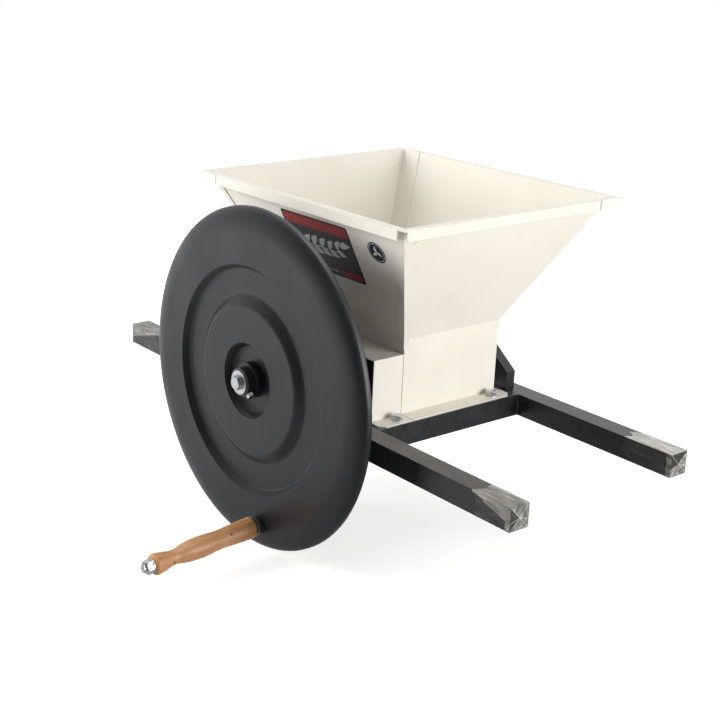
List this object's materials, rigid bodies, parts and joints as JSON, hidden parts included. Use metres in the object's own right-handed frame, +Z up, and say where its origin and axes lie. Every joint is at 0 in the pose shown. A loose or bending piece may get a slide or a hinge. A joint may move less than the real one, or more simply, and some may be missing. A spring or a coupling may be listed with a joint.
{
  "type": "apple scratter",
  "caption": "Hand mill for crushing apples: square folded hopper over a toothed drum, on two long tube rails, turned by a large flywheel with a wooden crank handle.",
  "frame": {"origin": "middle of the discharge opening, on the plane of the two rails' undersides", "axes": "+X along the rails, +Y along the shaft away from the flywheel, +Z up out of the hopper"},
  "size_m": [0.8132, 0.6329, 0.466],
  "materials": {
    "black_paint": "satin black paint",
    "white_paint": "glossy off-white powder paint",
    "zinc": "bright zinc plate",
    "stainless": "ground stainless steel",
    "bright_steel": "drawn bright steel",
    "bearing_iron": "painted cast iron",
    "bronze": "sintered bronze",
    "wheel_plastic": "moulded dark grey plastic",
    "plug_plastic": "black plastic",
    "drum_plastic": "natural nylon",
    "grip_wood": "varnished beech"
  },
  "bodies": {
    "frame": {"near_rail": "black_paint", "far_rail": "black_paint", "front_crossbar": "black_paint", "rear_crossbar": "black_paint", "rail_end_plugs": "plug_plastic", "front_wall": "white_paint", "rear_wall": "white_paint", "near_wall": "white_paint", "far_wall": "white_paint", "side_box": "white_paint", "near_end_plate": "black_paint", "far_end_plate": "black_paint", "side_box_plate": "black_paint", "housing_bolts": "zinc", "housing_washers": "zinc", "housing_nuts": "zinc", "near_bracket": "black_paint", "far_bracket": "black_paint", "bracket_bolts": "zinc", "bracket_nuts": "zinc", "near_bearing": "bearing_iron", "far_bearing": "bearing_iron", "near_bush": "bronze", "far_bush": "bronze", "bearing_bolts": "zinc", "bearing_nuts": "zinc", "front_counter_plate": "stainless", "rear_counter_plate": "stainless", "comb_bar": "stainless", "comb_screws": "zinc", "comb_nuts": "zinc", "counter_rods": "zinc", "rod_nuts": "zinc", "rod_washers": "zinc"},
    "rotor": {"shaft": "bright_steel", "drum_key": "bright_steel", "drum_core": "drum_plastic", "near_drum_disc": "stainless", "far_drum_disc": "stainless", "disc_screws": "stainless", "drum_blades": "stainless", "shaft_collars": "zinc", "flywheel": "wheel_plastic", "wheel_key": "bright_steel", "hub_sleeve": "black_paint", "hub_set_screw": "zinc", "end_washer": "zinc", "end_bolt": "zinc", "crank_bolt": "zinc", "crank_nuts": "zinc", "crank_washers": "zinc", "grip_end_nut": "zinc"},
    "handle": {"grip": "grip_wood"}
  },
  "joints": [
    {"name": "shaft_spin", "type": "hinge", "parent": "frame", "child": "rotor", "pos_m": [0, 0, 0.072], "axis": [0, 1, 0], "continuous": true},
    {"name": "grip_spin", "type": "hinge", "parent": "rotor", "child": "handle", "pos_m": [0.03377, -0.229, -0.11955], "axis": [-0.013, 0.9972, 0.0738], "continuous": true}
  ]
}
